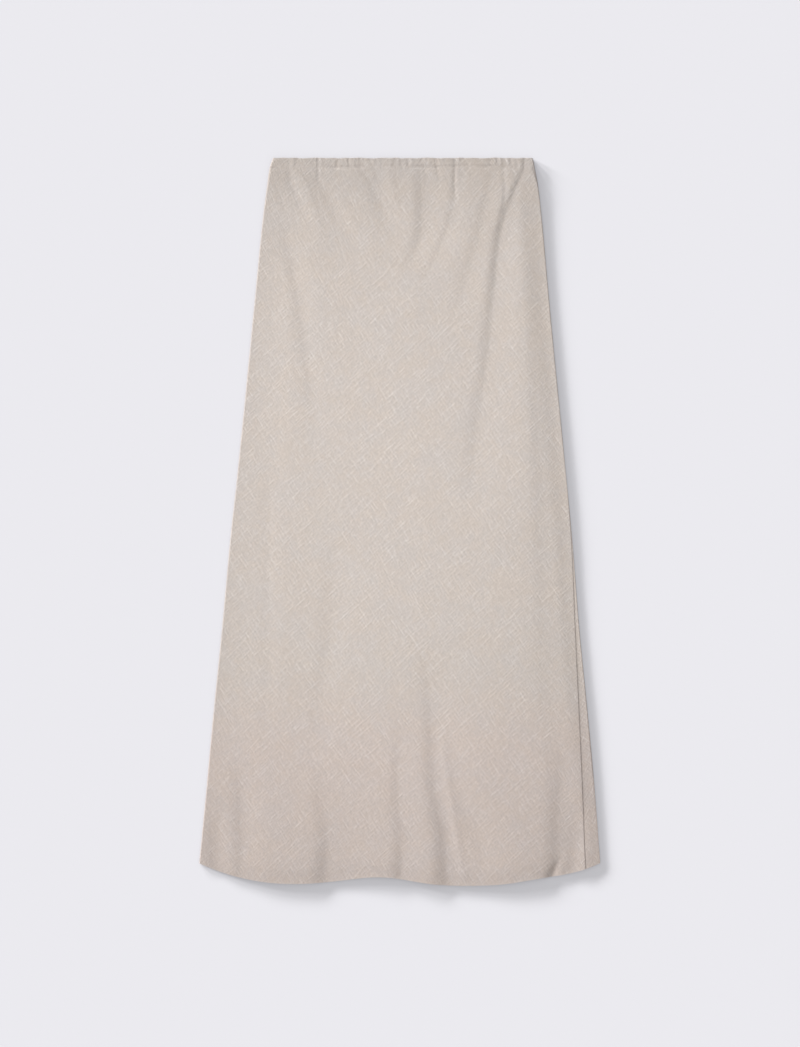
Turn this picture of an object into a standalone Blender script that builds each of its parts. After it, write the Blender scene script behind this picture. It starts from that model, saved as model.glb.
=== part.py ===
"""Bias-cut midi skirt with a narrow elasticated waist, lying face up on its back panel.

The skirt is a flattened tube of linen.  X runs across it, +Y points from hem to waist and +Z
points up, out of the surface that it lies on.  The origin is the centre of its footprint.

Sizes are in millimetres; every point is turned into metres when a mesh is made.  Places down the
skirt are given as a drop: the distance below the top of the waist.  Places across it are x, from
the middle line, which is positive on the side whose seam has rolled round to the front.
"""

import math
from collections import namedtuple

import bmesh
import bpy
import numpy as np

MM = 0.001

# Driving dimensions.
LENGTH = 876.0  # top of the waist to the lowest point of the hem
CLOTH = 1.0  # wall of every cloth piece
SEAM_GAP = 0.35  # between pieces sewn together; where their edges tilt, 0.3 or more is left
CASING_DEPTH = 12.0  # visible height of the casing round the elastic
ELASTIC_DEPTH = 8.0
ELASTIC_THICKNESS = 1.0

# Height of the middle of each layer at the waist, from the floor up.
PLY_STEP = CLOTH / 2 + SEAM_GAP + ELASTIC_THICKNESS / 2  # elastic's middle to a ply's middle
INNER_BEND = CLOTH  # bend of the inner ply at the side folds
ELASTIC_BEND = INNER_BEND + PLY_STEP
WAIST_BEND = ELASTIC_BEND + PLY_STEP
WAIST_MIDDLE = CLOTH / 2 + WAIST_BEND
WAIST_TOP = WAIST_MIDDLE + WAIST_BEND

# The flat outline, row by row down the skirt.  left and right are half widths, and stand is the
# height of the upper layer beside the side folds.  front_seam is how far round from the outermost
# line of the right-hand fold its seam has rolled, over the front, and back_seam how far the
# left-hand seam has rolled from the left-hand fold, in under the back.
Side = namedtuple("Side", "drop left right stand front_seam back_seam")
SIDES = (
    Side(0, 151.5, 159.5, WAIST_TOP, 5.0, 5.0),
    Side(12, 155.5, 161.5, WAIST_TOP, 5.0, 5.0),
    Side(36, 160.0, 166.0, 4.9, 4.0, 4.0),
    Side(76, 165.0, 169.5, 3.7, 3.0, 3.0),
    Side(172, 174.6, 178.2, 3.4, 2.0, 4.0),
    Side(364, 193.8, 197.5, 3.4, 2.0, 6.0),
    Side(460, 203.4, 207.0, 3.5, 2.5, 8.0),
    Side(556, 212.2, 214.5, 3.6, 6.0, 10.0),
    Side(652, 221.5, 223.5, 3.7, 10.0, 13.0),
    Side(748, 231.0, 232.5, 3.8, 14.5, 16.0),
    Side(848, 240.3, 240.3, 4.0, 18.5, 19.0),
)

# The hem is a shallow arc whose ends turn up, and the flutes lift it in places.
HEM_HALF_WIDTH = 240.3
HEM_TURN_UP = 29.0
HEM_FLATNESS = 4.0
HemLift = namedtuple("HemLift", "x half_width front back")
HEM_LIFTS = (
    HemLift(-24, 60, 12.0, 13.0),
    HemLift(-100, 42, 2.0, 2.8),
    HemLift(170, 34, 2.8, 3.6),
    HemLift(84, 40, 0.0, 1.0),
)

# Soft ridges (rise above 0) and troughs (below 0) of the front.  Each runs down from start to end
# along a curve through x_start, x_mid and x_end.
Fold = namedtuple(
    "Fold", "start end x_start x_mid x_end width_start width_end rise_start rise_mid rise_end"
)
FOLDS = (
    # gathers that fan out from the waist
    Fold(12, 400, 151, 117, 103, 9, 15, -1.3, -2.2, 0.0),
    Fold(12, 620, 158, 147, 150, 12, 24, 0.6, 1.5, 0.0),
    Fold(30, 340, -140, -130, -116, 7, 12, 0.5, 1.2, 0.0),
    Fold(30, 350, -130, -112, -96, 7, 12, -0.6, -1.3, 0.0),
    Fold(60, 360, -96, -74, -52, 14, 30, 0.4, 1.0, 0.0),
    Fold(12, 100, -30, -14, 0, 8, 10, -1.6, -1.5, 0.0),
    Fold(12, 130, -8, -2, 2, 9, 12, 0.8, 0.9, 0.0),
    Fold(12, 150, 38, 30, 18, 9, 10, -1.6, -1.5, 0.0),
    Fold(20, 210, 62, 52, 44, 8, 12, 0.6, 0.9, 0.0),
    Fold(12, 120, -100, -88, -74, 8, 11, -1.2, -1.1, 0.0),
    # flutes that open out towards the hem
    Fold(700, LENGTH, -112, -114, -120, 16, 15, 0.0, 0.8, 1.6),
    Fold(720, LENGTH, -86, -86, -84, 14, 13, 0.0, -0.8, -1.6),
    Fold(640, LENGTH, -19, -18, -19, 10, 13, 0.0, 0.6, 1.2),
    Fold(660, LENGTH, -3, -1, 1, 6, 9, 0.0, -1.0, -1.7),
    Fold(600, LENGTH, 14, 19, 27, 11, 13, 0.0, 1.0, 1.9),
    Fold(620, LENGTH, 36, 43, 57, 9, 12, 0.0, -1.5, -2.2),
    Fold(650, LENGTH, 72, 78, 86, 7, 9, 0.0, -0.8, -1.2),
    Fold(700, LENGTH, 160, 166, 168, 18, 18, 0.0, 0.8, 1.6),
    Fold(760, LENGTH, 186, 190, 190, 9, 9, 0.0, -1.0, -2.0),
    Fold(700, LENGTH, -214, -216, -220, 18, 18, 0.0, 0.5, 0.8),
)
LOWEST_FRONT = CLOTH + 2 * SEAM_GAP + CLOTH / 2  # the upper layer's middle stays above this
HIGHEST_FRONT = CLOTH + 4.0 + CLOTH / 2
EDGE_EASE = 26.0  # folds die out over this distance from the side folds
SIDE_FOLD_REACH = WAIST_BEND  # how far a side fold takes to turn from one layer to the other
RIPPLE_PITCH = 24.0  # shirring of the casing
RIPPLE_HEIGHT = 0.6

# How finely the faceted solids follow these forms.
ROWS = 24
ROW_CROWDING = 0.75  # rows crowd together towards waist and hem, from 0, even, to 1
PAST_SEAM = (0.0, 3.0, 7.0, 13.0)  # columns after the seam that a panel's row starts at
BEFORE_BEND = (13.0, 8.0, 5.0, 3.3, 2.2, 1.1, 0.0)  # and before the outermost line of its fold
AFTER_BEND = (0.12, 0.26, 0.5, 1.0)  # and after it, as shares of the way to the seam it ends at
FRONT_COLUMNS = 46
BACK_COLUMNS = 10
CASING_COLUMNS = 56
ELASTIC_COLUMNS = 24
BEND_STEPS = 4
LOOP_STEPS = 900  # points of the fine loop that the panels' columns are taken from
BEND_LOOP_STEPS = 60  # its points round a quarter turn
PROBE = 0.3  # how far each way a row's direction is measured over

LINEN_COLOUR = (0.640, 0.575, 0.525, 1.0)
ELASTIC_COLOUR = (0.72, 0.70, 0.67, 1.0)


def blend(low, high, t):
    """Straight mix of low and high, by t from 0 to 1."""
    return low + (high - low) * t


def ease(t):
    """A smooth step from 0 to 1 as t goes from 0 to 1."""
    t = np.clip(t, 0.0, 1.0)
    return t * t * (3.0 - 2.0 * t)


def through(first, middle, last, t):
    """A parabola through three values, at t = 0, 0.5 and 1."""
    return first * (1 - t) * (1 - 2 * t) + 4 * middle * t * (1 - t) + last * t * (2 * t - 1)


def side(column, drop):
    """A column of SIDES at any drop, on a smooth curve through its rows that never overshoots."""
    at = np.array([row.drop for row in SIDES], float)
    values = np.array([getattr(row, column) for row in SIDES], float)
    slopes = np.diff(values) / np.diff(at)
    tangents = np.zeros(len(at))
    same_way = slopes[:-1] * slopes[1:] > 0
    inner = np.zeros(len(slopes) - 1)
    inner[same_way] = 2 / (1 / slopes[:-1][same_way] + 1 / slopes[1:][same_way])
    tangents[1:-1] = inner
    tangents[0], tangents[-1] = slopes[0], slopes[-1]
    drop = np.clip(np.asarray(drop, float), at[0], at[-1])
    i = np.clip(np.searchsorted(at, drop) - 1, 0, len(at) - 2)
    span = at[i + 1] - at[i]
    t = (drop - at[i]) / span
    return (
        values[i] * (1 + 2 * t) * (1 - t) ** 2
        + tangents[i] * span * t * (1 - t) ** 2
        + values[i + 1] * t * t * (3 - 2 * t)
        + tangents[i + 1] * span * t * t * (t - 1)
    )


def hem_drop(x, layer):
    """How far below the waist the hem of the layer, front or back, is at x."""
    across = np.abs(x) / HEM_HALF_WIDTH
    drop = LENGTH - HEM_TURN_UP * across**HEM_FLATNESS
    inside = ease((1.0 - across) * HEM_HALF_WIDTH / EDGE_EASE)
    for lift in HEM_LIFTS:
        bump = np.exp(-(((x - lift.x) / lift.half_width) ** 2))
        drop = drop - getattr(lift, layer) * bump * inside
    return drop


def fold_height(fold, x, drop):
    """What one fold adds to the height of the front."""
    t = np.clip((drop - fold.start) / (fold.end - fold.start), 0.0, 1.0)
    middle = through(fold.x_start, fold.x_mid, fold.x_end, t)
    half_width = blend(fold.width_start, fold.width_end, t)
    rise = through(fold.rise_start, fold.rise_mid, fold.rise_end, t)
    rise = np.where((drop < fold.start) | (drop > fold.end), 0.0, rise)
    return rise * np.exp(-(((x - middle) / half_width) ** 2))


def ripple(x):
    """The casing's shirring: uneven low waves along the waist, never below 0."""
    phase = 2 * math.pi * x / RIPPLE_PITCH
    return RIPPLE_HEIGHT * (0.5 + 0.5 * np.sin(phase + 1.3 * np.sin(phase * 0.37)))


def front_height(x, drop):
    """Height of the middle of the front's wall above the floor."""
    low = side("stand", drop)
    folds = sum(fold_height(fold, x, drop) for fold in FOLDS)
    left, right = -side("left", drop), side("right", drop)
    inside = ease(np.minimum(x - left, right - x) / EDGE_EASE)
    ceiling = np.maximum(HIGHEST_FRONT, low)
    return np.clip(low + inside * folds, LOWEST_FRONT, ceiling)


def row_places():
    """Where the rows of the panels lie, as shares of the way from casing to hem."""
    u = np.linspace(0.0, 1.0, ROWS)
    return u - ROW_CROWDING * np.sin(2 * math.pi * u) / (2 * math.pi)


def panel_drop(x, share, layer):
    """Drop of a row at x: a share of the way from the casing's seam to the hem."""
    top = CASING_DEPTH + SEAM_GAP
    return top + (hem_drop(x, layer) - top) * share


def loop(share):
    """One row all round the flattened tube, as points with columns x, drop and height.

    It starts under the middle, runs right along the floor, round the right-hand fold, left over
    the top, round the left-hand fold and back along the floor.  The second value is the indices
    of its outermost points, right and left.
    """
    corner = panel_drop(HEM_HALF_WIDTH, share, "front")
    left = -side("left", corner) + CLOTH / 2
    right = side("right", corner) - CLOTH / 2
    stand = float(side("stand", corner))
    low = CLOTH / 2
    reach = SIDE_FOLD_REACH
    flat = np.linspace(0.0, 1.0, LOOP_STEPS)
    turn = np.linspace(-math.pi / 2, math.pi / 2, 2 * BEND_LOOP_STEPS + 1)
    middle, bulge = (stand + low) / 2, (stand - low) / 2

    floor_right = blend(0.0, right - reach, flat)[:-1]
    bend_right = right - reach + reach * np.cos(turn)
    top = blend(right - reach, left + reach, flat)[1:-1]
    bend_left = left + reach - reach * np.cos(turn)
    floor_left = blend(left + reach, 0.0, flat)[1:-1]

    def floor(xs):
        return np.column_stack([xs, panel_drop(xs, share, "back"), np.full(len(xs), low)])

    def bend(xs, heights):
        over = (heights - low) / (stand - low)
        drops = blend(panel_drop(xs, share, "back"), panel_drop(xs, share, "front"), over)
        return np.column_stack([xs, drops, heights])

    top_drop = panel_drop(top, share, "front")
    up = middle + bulge * np.sin(turn)
    parts = [
        floor(floor_right),
        bend(bend_right, up),
        np.column_stack([top, top_drop, front_height(top, top_drop)]),
        bend(bend_left, up[::-1]),
        floor(floor_left),
    ]
    outermost_right = len(floor_right) + len(turn) // 2
    outermost_left = outermost_right + len(turn) + len(top)
    return np.concatenate(parts), (outermost_right, outermost_left)


def stations(bend, end, columns):
    """Distances along a panel's row, from its first seam, round the fold at bend, to its end."""
    start = np.array(PAST_SEAM)
    before = bend - np.array(BEFORE_BEND)
    between = np.linspace(start[-1], before[0], columns + 2)[1:-1]
    after = bend + np.array(AFTER_BEND) * (end - bend)
    return np.concatenate([start, between, before, after])


def reaches(points):
    """How far along a path each of its points is."""
    steps = np.linalg.norm(np.diff(points, axis=0), axis=1)
    return np.concatenate([[0.0], np.cumsum(steps)])


def along(points, distances):
    """The points at these distances along a path."""
    reach = reaches(points)
    return np.column_stack([np.interp(distances, reach, points[:, k]) for k in range(3)])


def panel_row(share, which, columns):
    """Points across the front (which = 0) or the back (1) at one row, and which way each faces.

    The loop is cut at its two seams.  The front runs from the right-hand seam over the top and
    round the left-hand fold, the back from the left-hand seam under it and round the right-hand one.
    """
    points, bends = loop(share)
    corner = panel_drop(HEM_HALF_WIDTH, share, "front")
    reach = reaches(points)
    round_loop = reach[-1]
    right, left = reach[bends[0]], reach[bends[1]]
    cut_right = right + side("front_seam", corner)
    cut_left = left + side("back_seam", corner)
    if which == 0:
        start, bend, end = cut_right, left, cut_left
    else:
        start, bend, end = cut_left, right + round_loop, cut_right + round_loop
    twice = np.concatenate([points, points[1:]])
    start += SEAM_GAP / 2
    end -= SEAM_GAP / 2
    at = start + stations(bend - start, end - start, columns)
    return along(twice, at), along(twice, at + PROBE) - along(twice, at - PROBE)


def to_metres(points):
    """Columns x, drop and height, in millimetres, as x, y and z in metres."""
    x, drop, height = points[..., 0], points[..., 1], points[..., 2]
    return np.stack([x, LENGTH / 2 - drop, height], axis=-1) * MM


def solid_from_grids(name, outer, inner, colour, closed=False):
    """A closed solid between two grids of points, rows by columns.

    closed joins the last column to the first, for a piece that runs all round.
    """
    rows, columns, _ = outer.shape
    mesh = bpy.data.meshes.new(name)
    bm = bmesh.new()
    skins = []
    for grid in (outer, inner):
        skins.append([[bm.verts.new(point) for point in row] for row in to_metres(grid)])
    out, back = skins
    last = columns if closed else columns - 1
    for i in range(rows - 1):
        for j in range(last):
            k = (j + 1) % columns
            bm.faces.new((out[i][j], out[i][k], out[i + 1][k], out[i + 1][j]))
            bm.faces.new((back[i][j], back[i + 1][j], back[i + 1][k], back[i][k]))
    for j in range(last):
        k = (j + 1) % columns
        bm.faces.new((out[0][j], back[0][j], back[0][k], out[0][k]))
        bm.faces.new((out[-1][j], out[-1][k], back[-1][k], back[-1][j]))
    if not closed:
        for i in range(rows - 1):
            bm.faces.new((out[i][0], out[i + 1][0], back[i + 1][0], back[i][0]))
            bm.faces.new((out[i][-1], back[i][-1], back[i + 1][-1], out[i + 1][-1]))
    if bm.calc_volume(signed=True) < 0:
        bmesh.ops.reverse_faces(bm, faces=bm.faces)
    bm.to_mesh(mesh)
    bm.free()
    mesh.shade_smooth()
    mesh.set_sharp_from_angle(angle=math.radians(50))
    mesh.materials.append(cloth_material(name, colour))
    obj = bpy.data.objects.new(name, mesh)
    bpy.context.scene.collection.objects.link(obj)
    return obj


def cloth_material(name, colour):
    """A matt cloth finish for one piece."""
    material = bpy.data.materials.new(name + "_finish")
    material.use_nodes = True
    shader = material.node_tree.nodes["Principled BSDF"]
    shader.inputs["Base Color"].default_value = colour
    shader.inputs["Roughness"].default_value = 0.9
    shader.inputs["Metallic"].default_value = 0.0
    return material


def panel(name, which, columns):
    """The front (which = 0) or the back (1), as a wall of cloth on its share of the tube."""
    rows = [panel_row(share, which, columns) for share in row_places()]
    middles = np.array([row[0] for row in rows])
    across = np.array([row[1] for row in rows])
    normals = np.cross(np.gradient(middles, axis=0), across)
    on_floor = middles[..., 2] < CLOTH / 2 + 1e-6
    normals[on_floor] = (0.0, 0.0, -1.0)
    normals[[0, -1], :, 1] = 0.0  # the cut edges at waist and hem stand square
    normals /= np.linalg.norm(normals, axis=2, keepdims=True)
    return solid_from_grids(
        name,
        middles + normals * CLOTH / 2,
        middles - normals * CLOTH / 2,
        LINEN_COLOUR,
    )


def waist_ring(drop, offset, columns, upper=None):
    """Points round the flattened waist at one drop, offset outwards from the elastic's middle.

    upper is True for the front half only, False for the back half, and None for the whole ring.
    """
    bend = ELASTIC_BEND + offset
    left = -side("left", drop) + CLOTH / 2 + WAIST_BEND
    right = side("right", drop) - CLOTH / 2 - WAIST_BEND
    quarter = np.linspace(0.0, math.pi / 2, BEND_STEPS + 1)
    least = 0.0 if upper is None else SEAM_GAP / 2
    run = np.linspace(0.0, 1.0, columns)[1:-1]
    xs = np.concatenate(
        [
            right + bend * np.cos(quarter),
            blend(right, left, run),
            left - bend * np.cos(quarter[::-1]),
        ]
    )
    turn = bend * np.sin(quarter)
    heights = np.maximum(least, np.concatenate([turn, np.full(len(run), bend), turn[::-1]]))
    drops = np.full(len(xs), float(drop))
    top = np.column_stack([xs, drops, WAIST_MIDDLE + heights])
    under = np.column_stack([xs, drops, WAIST_MIDDLE - heights])[::-1]
    if upper is True:
        return top
    if upper is False:
        return under
    return np.concatenate([top, under[1:-1]])


def casing_section(radius):
    """One skin of the casing's folded strip, as (offset, drop) from outer hem to inner hem."""
    top = CLOTH / 2 + PLY_STEP
    turn = np.linspace(0.0, math.pi, BEND_STEPS + 1)
    over = [(radius * math.cos(a), top - radius * math.sin(a)) for a in turn]
    middle = blend(top, CASING_DEPTH, 0.45)
    return [(radius, CASING_DEPTH), (radius, middle), *over, (-radius, CASING_DEPTH)]


def casing(name, upper):
    """Half of the folded strip that holds the elastic: the front one shirred, the back one flat."""
    columns = CASING_COLUMNS if upper else CASING_COLUMNS // 3
    skins = []
    for radius in (PLY_STEP + CLOTH / 2, PLY_STEP - CLOTH / 2):
        rows = []
        for offset, drop in casing_section(radius):
            row = waist_ring(drop, offset, columns, upper)
            if upper and offset > 0:
                fade = ease((WAIST_TOP - WAIST_MIDDLE - np.abs(row[:, 2] - WAIST_TOP)) / WAIST_BEND)
                row[:, 2] += ripple(row[:, 0]) * fade * offset / radius
            rows.append(row)
        skins.append(np.array(rows))
    return solid_from_grids(name, skins[0], skins[1], LINEN_COLOUR)


def elastic(name):
    """The woven elastic, one band all round inside the casing."""
    bottom = CASING_DEPTH - SEAM_GAP
    drops = (bottom - ELASTIC_DEPTH, bottom)
    half = ELASTIC_THICKNESS / 2
    outer = np.array([waist_ring(drop, half, ELASTIC_COLUMNS) for drop in drops])
    inner = np.array([waist_ring(drop, -half, ELASTIC_COLUMNS) for drop in drops])
    return solid_from_grids(name, outer, inner, ELASTIC_COLOUR, closed=True)


def clear_scene():
    """Removes the start-up objects."""
    for obj in list(bpy.data.objects):
        bpy.data.objects.remove(obj, do_unlink=True)


def main():
    """Builds every piece of the skirt."""
    clear_scene()
    panel("front_panel", 0, FRONT_COLUMNS)
    panel("back_panel", 1, BACK_COLUMNS)
    casing("casing_front", True)
    casing("casing_back", False)
    elastic("waist_elastic")


main()
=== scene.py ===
"""Dresses a bias-cut midi skirt with a narrow elasticated waist, lying front up on a pale floor.

Its sizes are in millimetres until a mesh is made; the studio's are in metres.  A place on the skirt
is x, the distance from its middle line, and drop, the distance below the top of its waist.  Height
is measured from the floor.
"""

import logging
import math
from dataclasses import dataclass, field
from enum import Enum
from typing import NamedTuple

import bpy
import numpy as np
from bpy.types import Material, Node, NodeSocket, NodeTree, Object
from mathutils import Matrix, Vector


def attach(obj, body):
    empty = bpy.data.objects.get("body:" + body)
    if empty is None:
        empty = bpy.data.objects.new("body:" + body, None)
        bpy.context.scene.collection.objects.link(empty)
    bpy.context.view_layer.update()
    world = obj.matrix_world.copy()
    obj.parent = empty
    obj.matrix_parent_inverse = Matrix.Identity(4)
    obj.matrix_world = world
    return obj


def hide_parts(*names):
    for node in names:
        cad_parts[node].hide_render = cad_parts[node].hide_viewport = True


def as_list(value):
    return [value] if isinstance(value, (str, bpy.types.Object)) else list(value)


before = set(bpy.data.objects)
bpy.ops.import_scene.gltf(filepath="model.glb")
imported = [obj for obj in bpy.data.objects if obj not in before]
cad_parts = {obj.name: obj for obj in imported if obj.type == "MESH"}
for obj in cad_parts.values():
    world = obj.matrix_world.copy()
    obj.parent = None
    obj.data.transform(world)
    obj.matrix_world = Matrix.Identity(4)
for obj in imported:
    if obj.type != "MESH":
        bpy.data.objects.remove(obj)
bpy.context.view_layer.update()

LOG = logging.getLogger("skirt")
MM = 0.001
# What each mesh of cloth carries: its places on the flat cloth, and its painted shade, which is painted
# light where below 0.
WEAVE_MAP = "weave"
PAINTED_SHADE = "shade"
# From how many degrees on an edge of the cloth stays crisp.
RIM_ANGLE = 50.0
# How much narrower a crease is on its steeper side, and how far off its middle that is steepest.
CREASE_LEAN = 0.45
STEEPEST = 0.71
# How deep the thread lies in the cloth.
THREAD_SUNK = 0.02
# The height of the camera's sensor.
SENSOR = 36.0

Array = np.ndarray
Pair = tuple[float, float]
Triple = tuple[float, float, float]
# A point that a fold passes: its drop and x, its height over the flat cloth and its width there.
Way = tuple[float, float, float, float]


class Side(NamedTuple):
    """One row of the flat outline.

    Its half widths, how high the front layer stands in the middle and where its side folds start,
    and how far the right-hand seam has rolled to the front and the left-hand one to the back.
    """

    drop: float
    left: float
    right: float
    stand: float
    edge: float
    front_seam: float
    back_seam: float


class Pull(NamedTuple):
    """A place where an edge of the front and the back is pulled up or down a little."""

    x: float
    half_width: float
    front: float
    back: float


class Groove(NamedTuple):
    """A shallow groove along the casing's lower edge, which dies out where the two run smoothly."""

    depth: float
    eased: float
    inset: float
    half_width: float


class Wave(NamedTuple):
    """A regular wave across the cloth."""

    size: float
    length: float
    phase: float = 0.0

    def at(self, x: Array, shift: Array = 0.0) -> Array:
        """The wave's height at x, moved along by a shift."""
        return self.size * np.sin(x / self.length + self.phase + shift)


Waves = tuple[Wave, ...]


class Layer(Enum):
    """The two layers of the skirt as it lies."""

    FRONT = "front"
    BACK = "back"


def ripple(x: Array, waves: Waves) -> Array:
    """Several waves together."""
    return sum(wave.at(x) for wave in waves)


def wander(x: Array, waves: Waves) -> Array:
    """An irregular wave, from a main one, another that moves it along, and a finer one."""
    return waves[0].at(x, waves[1].at(x)) + waves[2].at(x)


def ease(t: Array) -> Array:
    """A smooth step from 0 to 1 as t goes from 0 to 1."""
    t = np.clip(t, 0.0, 1.0)
    return t * t * (3.0 - 2.0 * t)


def bell(t: Array) -> Array:
    """A smooth bump, 1 at 0 and almost 0 from 2 on."""
    return np.exp(-(t**2))


def smooth_curve(at: Array, values: Array, where: Array) -> Array:
    """A smooth curve through given values that never overshoots them.

    Args:
        at: Where the values are given, in rising order.
        values: The values there.
        where: Where the curve is wanted; it stays level past both ends.

    Returns:
        The curve's values.
    """
    slopes = np.diff(values) / np.diff(at)
    before, after = slopes[:-1], slopes[1:]
    same_way, inner = before * after > 0, np.zeros(len(before))
    inner[same_way] = 2 / (1 / before[same_way] + 1 / after[same_way])
    tangents = np.concatenate([slopes[:1], inner, slopes[-1:]])
    where = np.clip(np.asarray(where, float), at[0], at[-1])
    i = np.clip(np.searchsorted(at, where) - 1, 0, len(at) - 2)
    span = at[i + 1] - at[i]
    t = (where - at[i]) / span
    start = values[i] * (1 + 2 * t) + tangents[i] * span * t
    end = values[i + 1] * (3 - 2 * t) + tangents[i + 1] * span * (t - 1)
    return start * (1 - t) ** 2 + end * t * t


def reaches(points: Array) -> Array:
    """How far along a path each of its points is."""
    steps = np.linalg.norm(np.diff(points, axis=0), axis=1)
    return np.concatenate([[0.0], np.cumsum(steps)])


def along(points: Array, reach: Array, distances: Array) -> Array:
    """The points at given distances along a path."""
    columns = range(points.shape[1])
    return np.column_stack([np.interp(distances, reach, points[:, k]) for k in columns])


@dataclass(frozen=True)
class Fold:
    """A soft ridge or trough that runs down the cloth through its ways."""

    ways: tuple[Way, ...]
    lean: float = 0.0

    def height(self, x: Array, drop: Array) -> Array:
        """What the fold adds to the cloth's height.

        Args:
            x: Places across the skirt.
            drop: Places down it.

        Returns:
            Heights, of the shape of x and drop together.
        """
        at, *columns = np.array(self.ways, float).T
        middle, rise, width = (smooth_curve(at, column, drop) for column in columns)
        off = x - middle
        width = width * np.where(off < 0, 1.0 - self.lean, 1.0 + self.lean)
        return rise * bell(off / width)


def relief(folds: tuple[Fold, ...], x: Array, drop: Array) -> Array:
    """What several folds add together."""
    return sum(one.height(x, drop) for one in folds)


def fold(*ways: Way) -> Fold:
    """A fold that is the same on both sides."""
    return Fold(ways)


def crease(*ways: Way) -> Fold:
    """A narrow fold whose left side is the steeper."""
    return Fold(ways, CREASE_LEAN)


def flank(*ways: Way, lean: float) -> Fold:
    """A fold placed by its steep side: the left one where lean is above 0, or else the right."""
    off = math.copysign(STEEPEST * (1.0 - abs(lean)), lean)
    return Fold(tuple((drop, x + off * wide, rise, wide) for drop, x, rise, wide in ways), lean)


# Gathers and hip folds that start at the waist.
WAIST_FOLDS = (
    # the deep trough at the right hip, and the fall to the right side fold
    flank((10, 150, -0.3, 7), (41, 135, -0.8, 11), (71, 123.5, -1.5, 14), (96, 116.5, -1.9, 16),
          (142, 111.5, -1.7, 17), (179, 107.5, -1.35, 18), (262, 98.5, -1.1, 22), (302, 91, -1.0, 24),
          (360, 84, -0.8, 26), (430, 80, 0, 30), lean=0.55),
    flank((14, 152, 0.2, 16), (34, 150, 0.4, 20), (66, 148, 0.6, 24), (142, 152, 0.9, 27),
          (216, 157, 0.9, 27), (292, 160, 0.9, 28), (364, 163, 0.9, 30), (436, 165, 0.8, 32),
          (604, 170, 0.5, 34), (700, 176, 0.4, 34), (780, 180, 0.4, 34), (880, 184, 0.4, 34), lean=-0.6),
    # the long hollow at the left hip
    flank((74, -143, 0, 8), (100, -139, -0.6, 10), (134, -132, -0.8, 11), (179, -124, -0.8, 11),
          (224, -117, -0.75, 11), (262, -113, -0.65, 12), (292, -110, -0.5, 13), (350, -104, 0, 16),
          lean=0.35),
    fold((110, -136, 0, 12), (180, -135, 0.25, 13), (300, -131, 0.3, 14), (410, -130, 0, 16)),
    # creases that fan out from the left end of the waist
    fold((14, -133, -0.25, 4), (28, -131, -0.55, 4.5), (46, -124, -0.6, 5), (62, -117, -0.4, 5),
          (84, -106, 0, 6)),
    flank((6, -126, 0.2, 4), (12, -123, 0.4, 5), (26, -113, 0.6, 6), (50, -103, 0.55, 7),
          (88, -91, 0.35, 8), (124, -82, 0, 11), lean=-0.5),
    fold((14, -156, 0, 3.5), (24, -152, -0.2, 4), (37, -147, -0.25, 4), (54, -139, -0.2, 4.5),
          (72, -130, 0, 5)),
    fold((20, -99, 0, 6), (33, -94, -0.8, 8), (48, -85, -1.2, 9), (66, -76, -1.1, 10), (95, -61, -0.5, 11),
          (130, -48, 0, 13)),
    # hollows under the middle of the waist
    flank((14, -50, -0.3, 11), (41, -34, -1.4, 16), (67, -25, -1.3, 18), (95, -14, -0.6, 19),
          (120, -6, 0, 20), lean=0.4),
    fold((14, -12.5, 0.35, 6), (41, -9, 0.45, 7), (70, -2, 0, 9)),
    flank((14, 21, -0.3, 12), (55, 23, -1.3, 17), (89, 22, -1.3, 19), (115, 14, -0.7, 18), (140, 2, 0, 18),
          lean=0.5),
    flank((16, 65, -0.35, 8), (59, 61, -0.45, 9), (96, 51, -0.45, 10), (126, 37, -0.35, 11),
          (155, 22, 0, 14), lean=0.5),
    flank((20, 107, -0.3, 12), (66, 97, -0.55, 13), (115, 86, -0.55, 14), (152, 74, -0.45, 15),
          (200, 62, 0, 18), lean=0.4),
    fold((160, 10, 0, 20), (182, 9, 0.35, 22), (206, 8, 0, 20)),
)

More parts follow.
